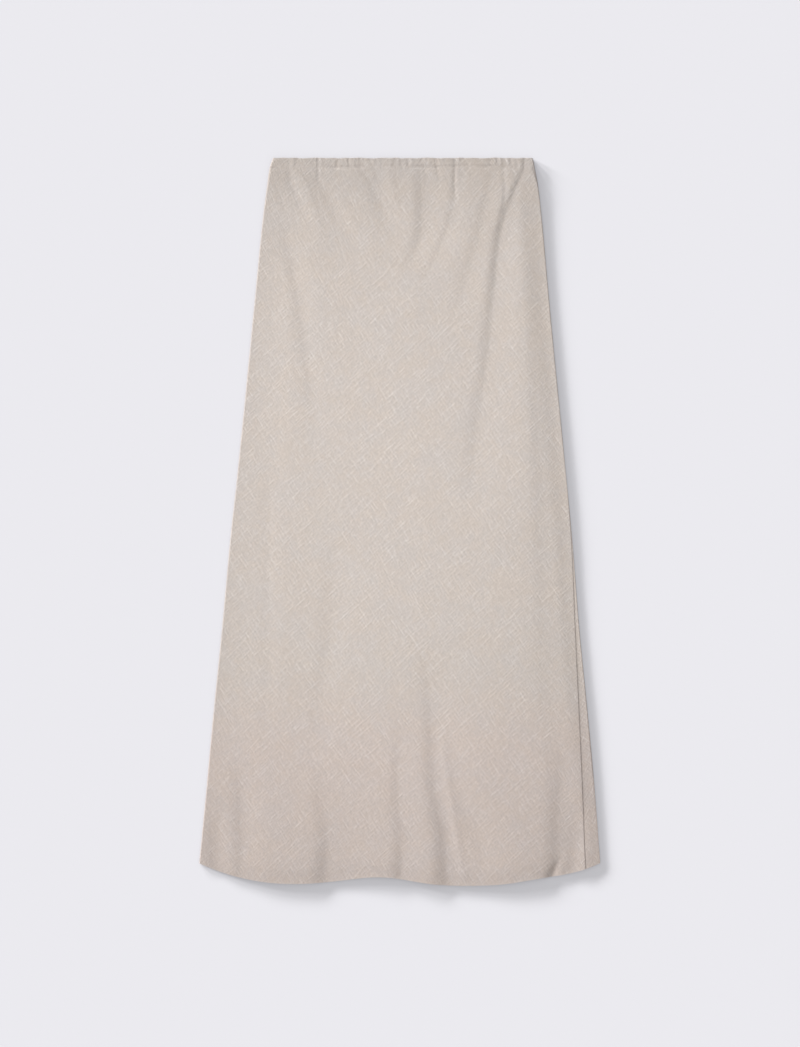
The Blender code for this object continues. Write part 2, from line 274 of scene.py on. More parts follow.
# Short sharp creases that the elastic draws into the casing and the cloth below it.
SHIRRING = (
    crease((0, -98, -0.30, 1.6), (14, -98, -0.42, 1.7), (24, -98, -0.32, 1.9), (34, -97, 0, 2.6)),
    crease((0, -48, -0.20, 1.8), (13, -47, -0.18, 2.0), (20, -46, 0, 3.0)),
    crease((0, -38, -0.16, 1.8), (19, -29, -0.25, 2.2), (30, -25, 0, 3.5)),
    crease((0, 27, -0.18, 1.9), (24, 31, -0.22, 2.3), (36, 33, 0, 3.5)),
    crease((0, 42, -0.16, 1.8), (15, 44, -0.25, 2.0), (32, 47, -0.18, 2.4), (44, 50, 0, 4.0)),
    crease((2, 66, -0.25, 1.4), (26, 65.5, -0.45, 1.6), (44, 66, -0.35, 1.8), (58, 67, 0, 3.0)),
    crease((4, 150.6, -0.25, 2.4), (18, 148, -0.3, 2.6), (32, 141, -0.25, 3.2), (58, 132, -0.15, 4),
          (76, 127, 0, 6)),
    crease((17, 124, -0.25, 2.2), (42, 126, -0.45, 2.6), (60, 124, -0.4, 3.2), (78, 119, 0, 6)),
    crease((4, 43, -0.3, 1.5), (14, 45, -0.3, 1.7), (26, 48, 0, 2.6)),
    crease((2, 77, -0.3, 1.5), (8, 81, -0.25, 1.6), (18, 85, 0, 2.4)),
    fold((4, 71, 0.15, 2.2), (26, 70, 0.20, 2.6), (46, 72, 0, 4.0)),
    crease((34, 95, 0, 2.2), (46, 92, -0.20, 2.6), (60, 88, 0, 3.5)),
    crease((0, 117, -0.22, 1.8), (9, 117, -0.12, 2.0), (14, 117, 0, 2.6)),
    crease((0, 133, -0.22, 1.8), (7, 133, -0.12, 2.0), (12, 134, 0, 2.6)),
    crease((0, 107, -0.14, 1.6), (10, 109, -0.12, 1.7), (14, 110, 0, 2.4)),
    crease((0, 124, -0.16, 1.5), (8, 128, -0.12, 1.6), (13, 131, 0, 2.4)),
    crease((0, -62, -0.20, 1.5), (9, -61, -0.20, 1.6), (14, -60, 0, 2.4)),
    crease((0, -106, -0.12, 1.5), (6, -103, -0.12, 1.6), (11, -101, 0, 2.4)),
    crease((2, 149, -0.20, 2.2), (22, 157, -0.25, 2.4), (42, 161, -0.22, 2.6), (60, 164, 0, 3.0)),
    fold((0, -10, 0.16, 2.0), (10, -10, 0.14, 2.2), (16, -10, 0, 3.0)),
    fold((0, -2, 0.14, 1.8), (9, -2, 0.12, 2.0), (14, -2, 0, 3.0)),
    crease((0, 9, -0.18, 2.0), (10, 10, -0.16, 2.2), (15, 10, 0, 3.0)),
    crease((0, -121, -0.18, 2.0), (8, -124, -0.14, 2.2), (13, -126, 0, 2.6)),
    crease((0, -72, -0.18, 2.0), (12, -76, -0.16, 2.2), (18, -78, 0, 2.6)),
    fold((0, 142, 0.16, 2.2), (10, 145, 0.16, 2.4), (18, 148, 0, 3.2)),
)

# Flutes that open out towards the hem, and the soft presses above them.
HEM_FOLDS = (
    fold((480, 20, 0, 130), (650, 20, 0.7, 150), (880, 20, 1.1, 160)),
    fold((360, -157, 0, 9), (420, -157, -0.35, 9), (640, -156, -0.35, 10), (760, -156, 0, 12)),
    flank((430, -82, 0, 14), (500, -85, -0.4, 16), (560, -89, -0.6, 17), (640, -100, -0.5, 17),
          (720, -108, 0, 18), lean=0.3),
    flank((730, -102, 0, 20), (772, -99, -0.7, 24), (820, -92, -1.6, 30), (865, -95, -2.2, 34),
          (880, -95, -2.2, 34), lean=0.6),
    flank((680, -5, 0, 10), (712, -5.5, -0.35, 10), (772, -6.5, -0.8, 13), (820, -1, -1.1, 16),
          (880, -5, -1.3, 17), lean=0.45),
    flank((580, 24, 0, 24), (640, 30.5, -0.8, 24), (700, 34.5, -1.1, 22), (760, 38, -1.5, 22),
          (820, 49, -2.5, 27), (880, 51, -2.4, 32), lean=0.55),
    flank((725, 62, 0, 12), (771, 70, -0.5, 15), (820, 90, -0.7, 16), (865, 98, 0, 16), lean=0.5),
    fold((680, 51, 0, 4), (710, 53, 0.3, 4.5), (753, 58, 0.4, 4.5), (807, 68, 0.6, 5), (850, 75, 0.4, 5),
          (880, 79, 0.15, 5)),
    flank((720, -203, 0, 14), (772, -195, -1.0, 16), (820, -194, -1.1, 17), (880, -196, -0.6, 16),
          lean=0.4),
    flank((770, -226, 0, 10), (820, -229, -1.0, 12), (880, -226, -1.4, 13), lean=0.3),
    flank((700, 190, 0, 14), (760, 187, -0.8, 15), (820, 184, -1.3, 19), (856, 179, -1.1, 20),
          (880, 177, -0.9, 19), lean=0.3),
    fold((770, 214, 0, 12), (820, 214, -1.0, 13), (850, 208, -1.0, 12), (880, 196, -0.6, 10)),
    fold((832, 195, 0, 4.5), (848, 189, -0.7, 5), (862, 183, -1.3, 5.5), (880, 177, -1.6, 6)),
)

# Hidden from above, the back has creases of its own.  It rests on the floor, so they only rise.
BACK_FOLDS = (
    fold((0, -118, 0.35, 2.4), (14, -118, 0.45, 3.0), (60, -112, 0.5, 6), (150, -104, 0, 12)),
    fold((0, -88, 0.30, 2.2), (20, -90, 0.45, 3.0), (70, -92, 0, 6)),
    fold((0, -61, 0.35, 2.2), (14, -58, 0.45, 3.0), (90, -48, 0.5, 8), (190, -42, 0, 14)),
    fold((0, -30, 0.30, 2.0), (12, -31, 0.40, 2.6), (44, -34, 0, 5)),
    fold((0, -6, 0.35, 2.2), (16, -4, 0.50, 3.2), (110, 2, 0.5, 9), (210, 4, 0, 14)),
    fold((0, 21, 0.30, 2.0), (12, 23, 0.40, 2.6), (38, 26, 0, 4)),
    fold((0, 47, 0.35, 2.4), (20, 44, 0.50, 3.4), (84, 36, 0, 8)),
    fold((0, 74, 0.30, 2.0), (12, 73, 0.40, 2.6), (50, 70, 0, 5)),
    fold((0, 103, 0.35, 2.4), (16, 101, 0.55, 3.2), (100, 92, 0.5, 9), (230, 88, 0, 15)),
    fold((0, 132, 0.30, 2.2), (14, 130, 0.45, 2.8), (60, 126, 0, 6)),
    fold((560, -120, 0, 10), (700, -116, 0.5, 12), (880, -112, 0.9, 14)),
    fold((600, -30, 0, 10), (740, -34, 0.5, 12), (880, -40, 0.9, 13)),
    fold((620, 64, 0, 10), (760, 70, 0.5, 11), (880, 78, 0.9, 12)),
    fold((700, 150, 0, 10), (800, 156, 0.4, 12), (880, 160, 0.7, 14)),
)


@dataclass(frozen=True)
class SkirtForm:
    """The shape that every piece of the skirt is cut from: outline, layers, hem and folds."""

    length: float = 876.0
    wall: float = 0.5
    waist_bend: float = 1.95
    elastic_bend: float = 1.2
    ply_step: float = 0.75
    waist_middle: float = 2.3
    seam_drop: float = 12.6
    seam_gap: float = 0.08
    seam_waves: Waves = (Wave(0.35, 17.0), Wave(0.25, 7.3, 1.0))
    sag: Pull = Pull(-66.0, 16.0, 1.2, 1.2)
    hem_half_width: float = 240.3
    hem_turn_up: float = 29.0
    hem_flatness: float = 4.0
    bend_power: float = 1.7
    edge_ease: float = 24.0
    left_slope: float = 80.0
    right_slope: float = 26.0
    hem_droop: float = 0.5
    hem_reach: float = 20.0
    least_gap: float = 0.35
    steps: int = 1000
    turns: int = 40
    shirr_waves: Waves = (Wave(0.06, 1.18), Wave(0.036, 0.83))
    shirr_sway: Waves = (Wave(2.2, 23.0, 0.4), Wave(1.2, 9.1, 2.0))
    shirr_spread: float = 1.6
    shirr_slant: Wave = Wave(0.22, 31.0)
    shirr_least: float = 0.55
    shirr_patches: Waves = (Wave(0.45, 19.0, 0.8), Wave(1.0, 41.0))
    shirr_from: float = 3.0
    shirr_reach: float = 13.0
    flush_level: float = 0.62
    flush_waves: Waves = (Wave(0.75, 8.5), Wave(1.9, 19.0, 0.6), Wave(0.3, 3.7))
    sides: tuple[Side, ...] = (
        Side(0, 151.5, 159.8, 4.25, 4.25, 6.0, 5.0),
        Side(12, 155.2, 162.0, 3.9, 4.1, 5.0, 5.0),
        Side(36, 159.0, 166.6, 3.9, 3.4, 1.8, 4.0),
        Side(76, 164.2, 171.0, 3.85, 2.7, 0.9, 3.0),
        Side(172, 174.0, 179.7, 3.8, 2.2, 0.7, 4.0),
        Side(364, 193.4, 198.8, 3.6, 2.2, 0.9, 6.0),
        Side(460, 203.8, 208.0, 3.6, 2.2, 2.5, 8.0),
        Side(556, 212.6, 215.5, 3.7, 2.2, 6.0, 10.0),
        Side(652, 222.2, 224.8, 3.8, 2.2, 11.0, 13.0),
        Side(748, 231.0, 233.6, 3.9, 2.2, 16.0, 16.0),
        Side(848, 240.3, 240.9, 4.0, 2.2, 20.0, 19.0),
    )
    hem_lifts: tuple[Pull, ...] = (
        Pull(-25, 58, 12.0, 13.0),
        Pull(-100, 42, 2.0, 2.8),
        Pull(168, 38, 3.6, 4.4),
        Pull(94, 46, 1.0, 1.9),
    )

    def side(self, column: str, drop: Array) -> Array:
        """A column of the outline table at any drop."""
        values = np.array([getattr(row, column) for row in self.sides], float)
        return smooth_curve(np.array([row.drop for row in self.sides], float), values, drop)

    def hem_drop(self, x: Array, layer: Layer) -> Array:
        """How far down a layer's hem is.

        Args:
            x: Places across the skirt.
            layer: The layer.

        Returns:
            The drop at each x.
        """
        across = np.abs(x) / self.hem_half_width
        drop = self.length - self.hem_turn_up * across**self.hem_flatness
        inside = ease((1.0 - across) * self.hem_half_width / self.edge_ease)
        for lift in self.hem_lifts:
            drop = drop - getattr(lift, layer.value) * bell((x - lift.x) / lift.half_width) * inside
        return drop

    def casing_edge(self, x: Array) -> Array:
        """How far down the casing's stitched lower edge is: the elastic pulls it uneven."""
        sag = self.sag.front * bell((x - self.sag.x) / self.sag.half_width)
        return self.seam_drop + ripple(x, self.seam_waves) + sag

    def shirr(self, x: Array, drop: Array) -> Array:
        """The fine waves between the hand-set creases; they die out below the waist.

        Args:
            x: Places across the skirt.
            drop: Places down it.

        Returns:
            What they add to its height.
        """
        sway, slant = ripple(x, self.shirr_sway), self.shirr_slant.at(x) * drop
        first, second = self.shirr_waves
        near = first.at(x + sway + slant) + second.at(x - self.shirr_spread * sway - slant)
        fade = bell(np.maximum(drop - self.shirr_from, 0.0) / self.shirr_reach)
        patchy = self.shirr_least + math.prod(wave.at(x) for wave in self.shirr_patches)
        return patchy * near * fade

    def flush(self, x: Array) -> Array:
        """How smoothly the casing runs into the panel: 1 where its edge hardly shows."""
        return ease(self.flush_level + wander(x, self.flush_waves))

    def sunk(self, groove: Groove, x: Array, off: Array) -> Array:
        """How deep a groove is at x, at a distance off the casing's lower edge."""
        depth = groove.depth - groove.eased * self.flush(x)
        return depth * bell((off - groove.inset) / groove.half_width)

    def waist_ends(self, drop: float) -> Pair:
        """Where the waist's left and right ends start to turn under."""
        turn = self.waist_bend + self.wall / 2
        return turn - float(self.side("left", drop)), float(self.side("right", drop)) - turn

    def front_height(self, x: Array, drop: Array) -> Array:
        """Height of the middle of the front layer's wall above the floor.

        Args:
            x: Places across the skirt.
            drop: Places down it.

        Returns:
            Heights, clear of the back layer.
        """
        folds = relief(WAIST_FOLDS + SHIRRING + HEM_FOLDS, x, drop) + self.shirr(x, drop)
        from_left, to_right = x + self.side("left", drop), self.side("right", drop) - x
        inside = ease(np.minimum(from_left, to_right) / self.edge_ease)
        slope = ease(np.minimum(from_left / self.left_slope, to_right / self.right_slope))
        low = self.side("edge", drop)
        low = low + (self.side("stand", drop) - low) * slope
        lip = self.hem_drop(x, Layer.FRONT) - drop
        low = low - self.hem_droop * slope * (1.0 - ease(lip / self.hem_reach))
        floor = self.back_height(x, drop) + self.wall + self.least_gap
        return self.soft_floor(low + inside * folds, floor)

    def back_height(self, x: Array, drop: Array) -> Array:
        """Height of the middle of the back layer's wall above the floor."""
        off = np.minimum(x + self.side("left", drop), self.side("right", drop) - x)
        return self.wall / 2 + ease(off / self.edge_ease) * relief(BACK_FOLDS, x, drop)

    @staticmethod
    def soft_floor(height: Array, floor: Array, blend: float = 0.5) -> Array:
        """The height where it clears the floor, easing on to the floor where it doesn't."""
        return floor + blend * np.log1p(np.exp(np.clip((height - floor) / blend, -30.0, 30.0)))

    def panel_drop(self, x: Array, share: float, layer: Layer) -> Array:
        """Drop of a row at x: a share of the way from the casing's seam to the hem."""
        top = self.casing_edge(x) + self.seam_gap
        return top + (self.hem_drop(x, layer) - top) * share

    def lie(self, x: Array, share: float, layer: Layer) -> Array:
        """Part of a row of one layer.

        Args:
            x: Places across the skirt.
            share: How far down the row is, from the casing's seam, 0, to the hem, 1.
            layer: The layer.

        Returns:
            Points with columns x, drop and height.
        """
        drops = self.panel_drop(x, share, layer)
        height = self.front_height if layer is Layer.FRONT else self.back_height
        return np.column_stack([x, drops, height(x, drops)])

    def bend(self, start: float, reach: float, share: float) -> Array:
        """Part of a row that turns over at a side fold.

        Args:
            start: The x where it leaves the back and comes to the front.
            reach: How far it goes out from there, below 0 to the left.
            share: How far down the row is.

        Returns:
            Points from the back to the front.
        """
        turn = np.linspace(-math.pi / 2, math.pi / 2, 2 * self.turns + 1)
        edge = np.array([start])
        under, over = (self.lie(edge, share, layer) for layer in (Layer.BACK, Layer.FRONT))
        points = (under + over) / 2 + (over - under) / 2 * np.sin(turn)[:, None]
        points[:, 0] = start + reach * np.cos(turn)
        return points

    def loop(self, share: float) -> tuple[Array, int, int]:
        """One row all round the flattened tube.

        Args:
            share: How far down it is.

        Returns:
            Points from under the middle to the right, over the top to the left and back, and the
            indices of the outermost right and left ones.
        """
        corner = self.panel_drop(self.hem_half_width, share, Layer.FRONT)
        thin = float(self.side("edge", corner)) / self.sides[0].edge
        reach = self.waist_bend * thin**self.bend_power
        left = self.wall / 2 - self.side("left", corner) + reach
        right = self.side("right", corner) - self.wall / 2 - reach
        run = np.linspace(0.0, 1.0, self.steps)
        parts = [
            self.lie(run[:-1] * right, share, Layer.BACK),
            self.bend(right, reach, share),
            self.lie(np.linspace(right, left, 2 * self.steps)[1:-1], share, Layer.FRONT),
            self.bend(left, -reach, share)[::-1],
            self.lie(left * (1.0 - run)[1:-1], share, Layer.BACK),
        ]
        outer_right = len(parts[0]) + self.turns
        return np.concatenate(parts), outer_right, outer_right + len(parts[1]) + len(parts[2])


class Graph:
    """Adds nodes to a shader or geometry tree and links them as it goes."""

    def __init__(self, tree: NodeTree) -> None:
        """Works on one tree."""
        self.tree = tree

    def node(self, kind: str, inputs: dict | None = None, **settings: object) -> Node:
        """Adds a node.

        Args:
            kind: The node's type name.
            inputs: Values or sockets for its inputs, by name or index.
            **settings: Its other properties.

        Returns:
            The node.
        """
        made = self.tree.nodes.new(kind)
        for name, value in settings.items():
            setattr(made, name, value)
        for key, value in (inputs or {}).items():
            self.feed(made.inputs[key], value)
        return made

    def feed(self, socket: NodeSocket, value: object) -> None:
        """Gives an input its value.

        Args:
            socket: The input.
            value: A socket to link it to, or a plain value.
        """
        if isinstance(value, NodeSocket):
            self.tree.links.new(value, socket)
        else:
            socket.default_value = value

    def math(self, operation: str, *values: object) -> NodeSocket:
        """A Math node's result."""
        return self.node("ShaderNodeMath", dict(enumerate(values)), operation=operation).outputs[0]

    def vector(self, operation: str, *values: object, **named: object) -> NodeSocket:
        """A Vector Math node's result."""
        made = self.node("ShaderNodeVectorMath", dict(enumerate(values)) | named, operation=operation)
        return made.outputs["Value" if operation == "DOT_PRODUCT" else 0]

    def step(self, value: object, low: float, high: float) -> NodeSocket:
        """A smooth step from 0 to 1 between two levels."""
        inputs = {"Value": value, "From Min": low, "From Max": high}
        return self.node("ShaderNodeMapRange", inputs, interpolation_type="SMOOTHSTEP").outputs[0]

    def noise(self, x: object, y: object, grain: Pair, seed: float, detail: float = 0.0) -> NodeSocket:
        """Noise over two coordinates.

        Args:
            x: The first coordinate.
            y: The second coordinate.
            grain: The size of its grain along each.
            seed: What sets it apart.
            detail: How many finer octaves it has.

        Returns:
            The noise, from 0 to 1.
        """
        parts = {0: self.math("DIVIDE", x, grain[0]), 1: self.math("DIVIDE", y, grain[1]), 2: seed}
        place = self.node("ShaderNodeCombineXYZ", parts).outputs[0]
        inputs = {"Vector": place, "Scale": 1.0, "Detail": detail, "Roughness": 0.85}
        return self.node("ShaderNodeTexNoise", inputs).outputs[0]


def new_material(name: str, levels: dict) -> tuple[Material, Graph, Node]:
    """Starts a material.

    Args:
        name: Its name.
        levels: What is the same all over it, by the names of its shader's sockets.

    Returns:
        The material, a graph of its nodes, and its shader.
    """
    made = bpy.data.materials.new(name)
    made.use_nodes = True
    shader = made.node_tree.nodes["Principled BSDF"]
    for label, level in levels.items():
        shader.inputs[label].default_value = level
    return made, Graph(made.node_tree), shader


class Streaks(NamedTuple):
    """Uneven yarn: its size along and across, how strong, a seed, octaves, and how sparse."""

    along: float
    across: float
    tint: float
    seed: float
    detail: float = 0.0
    sparse: float = 0.0


@dataclass(frozen=True)
class LinenFinish:
    """Matt plain-weave linen, cut on the bias, with uneven slubbed yarn."""

    name: str = "slubbed linen"
    colour: Triple = (0.655, 0.586, 0.533)
    thread_pitch: float = 0.62
    angles: Pair = (43.0, -56.0)
    seeds: Pair = (0.37, 20.61)
    uneven: tuple[Streaks, ...] = (Streaks(24.0, 1.7, 0.04, 3.3, 1.0), Streaks(5.0, 0.23, 0.175, 9.7))
    slubs: tuple[Streaks, ...] = (
        Streaks(18.0, 0.23, 0.167, 14.1, sparse=0.63),
        Streaks(6.0, 0.29, 0.12, 27.5, sparse=0.62),
    )
    slub_edge: float = 0.14
    slub_colour: Triple = (0.57, 0.60, 0.625)
    shade: float = 0.35
    speckle: float = 0.08
    drift: float = 1.6
    drift_grain: Pair = (95.0, 70.0)
    drift_seed: float = 5.1
    weave_tint: float = 0.05
    blotch_tint: float = 0.05
    blotch_grain: float = 15.0
    blotch_noise: Pair = (40.3, 3.0)
    hue_grain: float = 42.0
    hue_noise: Pair = (61.7, 4.0)
    hue_turn: Pair = (0.32, 0.68)
    level: float = 0.988
    rose: Triple = (0.022, -0.012, -0.012)
    rose_reach: Pair = (-600.0, -730.0)
    warm: Triple = (1.014, 0.996, 0.981)
    cool: Triple = (0.992, 1.000, 1.021)
    roughness: float = 0.92
    specular: float = 0.2
    sheen: float = 0.12
    sheen_roughness: float = 0.6
    slub_bump: float = 0.3
    weave_bump: float = 0.03
    bump: float = 0.8

    def threads(self, graph: Graph, place: NodeSocket, angle: float, start: float) -> tuple[NodeSocket, ...]:
        """One system of threads.

        Args:
            graph: The material's nodes.
            place: The place on the cloth, in millimetres.
            angle: Which way the threads run, in degrees.
            start: The first seed of their noise.

        Returns:
            The place across the threads, how much the yarn's unevenness and its slubs lighten the
            cloth, and the place of the nearest pair of threads.
        """
        turn = math.radians(angle)
        run = graph.vector("DOT_PRODUCT", place, (math.cos(turn), math.sin(turn), 0.0))
        across = graph.vector("DOT_PRODUCT", place, (-math.sin(turn), math.cos(turn), 0.0))
        sway = graph.noise(run, across, self.drift_grain, start + self.drift_seed)
        across = graph.math("MULTIPLY_ADD", sway, self.drift, across)
        strand = graph.math("SNAP", across, self.thread_pitch)
        beside = graph.math("ADD", strand, 2 * self.thread_pitch)

        level, light = 0.0, 0.0
        for one in self.uneven + self.slubs:
            grain, seed = (one.along, one.across), start + one.seed
            tones = [graph.noise(run, at, grain, seed, one.detail) for at in (strand, beside)]
            if one.sparse:
                tones = [graph.step(tone, one.sparse, one.sparse + self.slub_edge) for tone in tones]
                thick = graph.math("MULTIPLY_ADD", tones[1], -self.shade, tones[0])
                light = graph.math("MULTIPLY_ADD", thick, one.tint, light)
            else:
                level = graph.math("MULTIPLY_ADD", graph.math("SUBTRACT", *tones), one.tint, level)
        return across, level, light, graph.math("SNAP", across, 2 * self.thread_pitch)

    def weave(self, graph: Graph, threads: tuple[NodeSocket, NodeSocket]) -> NodeSocket:
        """The over and under of single threads.

        Args:
            graph: The material's nodes.
            threads: The places across the warp and across the weft.

        Returns:
            The height of the upper thread, from 0 to 1.
        """
        ridges, phases = [], []
        for across in threads:
            turns = graph.math("MULTIPLY", across, math.pi / self.thread_pitch)
            ridges.append(graph.math("ABSOLUTE", graph.math("SINE", turns)))
            phases.append(graph.math("FLOOR", graph.math("DIVIDE", across, self.thread_pitch)))
        over = graph.math("FLOORED_MODULO", graph.math("ADD", *phases), 2.0)
        lower = graph.math("MULTIPLY", ridges[1], graph.math("SUBTRACT", 1.0, over))
        return graph.math("MULTIPLY_ADD", ridges[0], over, lower)

    def material(self) -> Material:
        """Builds the cloth's material.

        Returns:
            The material.
        """
        levels = {
            "Roughness": self.roughness,
            "Specular IOR Level": self.specular,
            "Sheen Weight": self.sheen,
            "Sheen Roughness": self.sheen_roughness,
        }
        made, graph, shader = new_material(self.name, levels)
        uv = graph.node("ShaderNodeUVMap", uv_map=WEAVE_MAP).outputs[0]
        inputs = {"Vector": uv, "Scale": (1 / MM,) * 3}
        place = graph.node("ShaderNodeMapping", inputs).outputs[0]
        yarns = (self.threads(graph, place, *yarn) for yarn in zip(self.angles, self.seeds))
        threads, tones, slubs, strands = zip(*yarns)
        weave, slubs = self.weave(graph, threads), graph.math("ADD", *slubs)
        split = graph.node("ShaderNodeSeparateXYZ", {0: place}).outputs
        hue = graph.noise(split[0], split[1], (self.hue_grain,) * 2, *self.hue_noise)
        blotch = graph.noise(split[0], split[1], (self.blotch_grain,) * 2, *self.blotch_noise)
        crossing = graph.node("ShaderNodeCombineXYZ", dict(enumerate(strands))).outputs[0]
        grain = graph.node("ShaderNodeTexWhiteNoise", {"Vector": crossing}, noise_dimensions="2D")
        # Painted shade from the mesh, and painted light where it is below 0, taken off the cloth's colour.
        painted_shading = graph.node("ShaderNodeAttribute", attribute_name=PAINTED_SHADE).outputs["Fac"]
        level = graph.math("SUBTRACT", graph.math("ADD", *tones), painted_shading)
        level = graph.math("ADD", level, self.level)
        tints = (weave, self.weave_tint), (blotch, self.blotch_tint)
        for tone, tint in (*tints, (grain.outputs["Value"], self.speckle)):
            level = graph.math("MULTIPLY_ADD", graph.math("SUBTRACT", tone, 0.5), tint, level)
        cool, warm = (
            tuple(part * k for part, k in zip(self.colour, tint)) + (1.0,)
            for tint in (self.cool, self.warm)
        )
        inputs = {0: graph.step(hue, *self.hue_turn), 6: cool, 7: warm}
        cloth = graph.node("ShaderNodeMix", inputs, data_type="RGBA").outputs[2]
        cloth = graph.vector("SCALE", cloth, Scale=level)
        rose = graph.vector("SCALE", self.rose, Scale=graph.step(split[1], *self.rose_reach))
        cloth = graph.vector("MULTIPLY_ADD", cloth, rose, cloth)
        cloth = graph.vector("MULTIPLY_ADD", slubs, self.slub_colour, cloth)
        graph.feed(shader.inputs["Base Color"], cloth)
        height = graph.math("MULTIPLY", slubs, self.slub_bump)
        height = graph.math("MULTIPLY_ADD", weave, self.weave_bump, height)
        inputs = {"Height": height, "Distance": MM, "Strength": self.bump}
        graph.feed(shader.inputs["Normal"], graph.node("ShaderNodeBump", inputs).outputs[0])
        return made


@dataclass(frozen=True)
class RibbedFinish:
    """Yarn in fine even ribs: the elastic's along its band, and the twist of the thread."""

    name: str
    colour: Triple
    way: Triple
    pitch: float
    low: float
    swing: float
    roughness: float
    sheen: float = 0.0
    height: float = 0.0

    def material(self) -> Material:
        """Builds the yarn's material.

        Returns:
            The material.
        """
        levels = {"Roughness": self.roughness, "Sheen Weight": self.sheen}
        made, graph, shader = new_material(self.name, levels)
        turns = tuple(part * math.tau / (self.pitch * MM) for part in self.way)
        place = graph.node("ShaderNodeTexCoord").outputs["Object"]
        wave = graph.math("SINE", graph.vector("DOT_PRODUCT", place, turns))
        rib = graph.math("MULTIPLY_ADD", wave, 0.5, 0.5)
        level = graph.math("MULTIPLY_ADD", rib, self.swing, self.low)
        graph.feed(shader.inputs["Base Color"], graph.vector("SCALE", self.colour, Scale=level))
        if self.height:
            bump = graph.node("ShaderNodeBump", {"Height": rib, "Distance": self.height * MM})
            graph.feed(shader.inputs["Normal"], bump.outputs[0])
        return made


ELASTIC = RibbedFinish(
    "woven elastic", (0.72, 0.70, 0.67), (0.0, 1.0, 0.0), 1.1, 0.88, 0.16, 0.85, height=0.2
)
THREAD = RibbedFinish(
    "sewing thread", (0.625, 0.560, 0.510), (1.0, 0.6, 0.0), 0.5, 0.94, 0.12, 0.7, sheen=0.2
)


def to_metres(points: Array, length: float) -> Array:
    """Columns x, drop and height, in millimetres, as x, y and z in metres."""
    x, drop, height = points[..., 0], points[..., 1], points[..., 2]
    return np.stack([x, length / 2 - drop, height], axis=-1) * MM


def put(name: str, data: bpy.types.ID) -> Object:
    """Puts a mesh, a lamp or a camera into the scene.

    Args:
        name: The name of its object.
        data: The mesh, lamp or camera.

    Returns:
        The object.
    """
    made = bpy.data.objects.new(name, data)
    bpy.context.scene.collection.objects.link(made)
    return made


def as_built(made: Object) -> bpy.types.Mesh:
    """A plain mesh of what an object's modifiers make."""
    graph = bpy.context.evaluated_depsgraph_get()
    return bpy.data.meshes.new_from_object(made.evaluated_get(graph))


def stand_in(made: Object, node: str) -> None:
    """Hides the solid that a piece stands for, and lets the piece ride on the skirt.

    Args:
        made: The piece.
        node: The solid.
    """
    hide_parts(node)
    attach(made, "root")


def shell(
    name: str,
    points: Array,
    weave: Array,
    shade: Array,
    wall: float,
    finish: Material,
    closed: bool = False,
) -> Object:
    """A thin shell of cloth on a grid of points, rows by columns.

    Args:
        name: The piece's name.
        points: The middle of the cloth, in metres.
        weave: The place of each point on the flat cloth, in millimetres.
        shade: How much painted shade darkens each point; below 0 it is painted light.
        wall: The cloth's thickness.
        finish: Its material.
        closed: Whether each row meets its own start.

    Returns:
        The object, with crisp rims.
    """
    grid = points.shape[:2]
    index = np.arange(math.prod(grid)).reshape(grid)
    if closed:
        index = np.concatenate([index, index[:, :1]], axis=1)
    corners = (index[:-1, :-1], index[:-1, 1:], index[1:, 1:], index[1:, :-1])
    quads = np.stack(corners, axis=-1).reshape(-1, 4)
    middle = bpy.data.meshes.new(f"{name} middle")
    middle.from_pydata(points.reshape(-1, 3).tolist(), [], quads.tolist())
    places = weave.reshape(-1, 2)[quads.reshape(-1)] * MM
    middle.uv_layers.new(name=WEAVE_MAP).data.foreach_set("uv", places.ravel())
    # The painted shade and painted light of each point, kept on the mesh.
    painted_shading = np.broadcast_to(shade, grid).astype(np.float32)
    middle.attributes.new(PAINTED_SHADE, "FLOAT", "POINT").data.foreach_set("value", painted_shading.ravel())
    middle.materials.append(finish)
    made = put(name, middle)
    sides = made.modifiers.new("cloth wall", "SOLIDIFY")
    sides.thickness, sides.offset = wall * MM, 0.0
    made.data = as_built(made)
    made.modifiers.clear()
    made.data.name = name
    made.data.shade_smooth()
    made.data.set_sharp_from_angle(angle=math.radians(RIM_ANGLE))
    bpy.data.meshes.remove(middle)
    return made


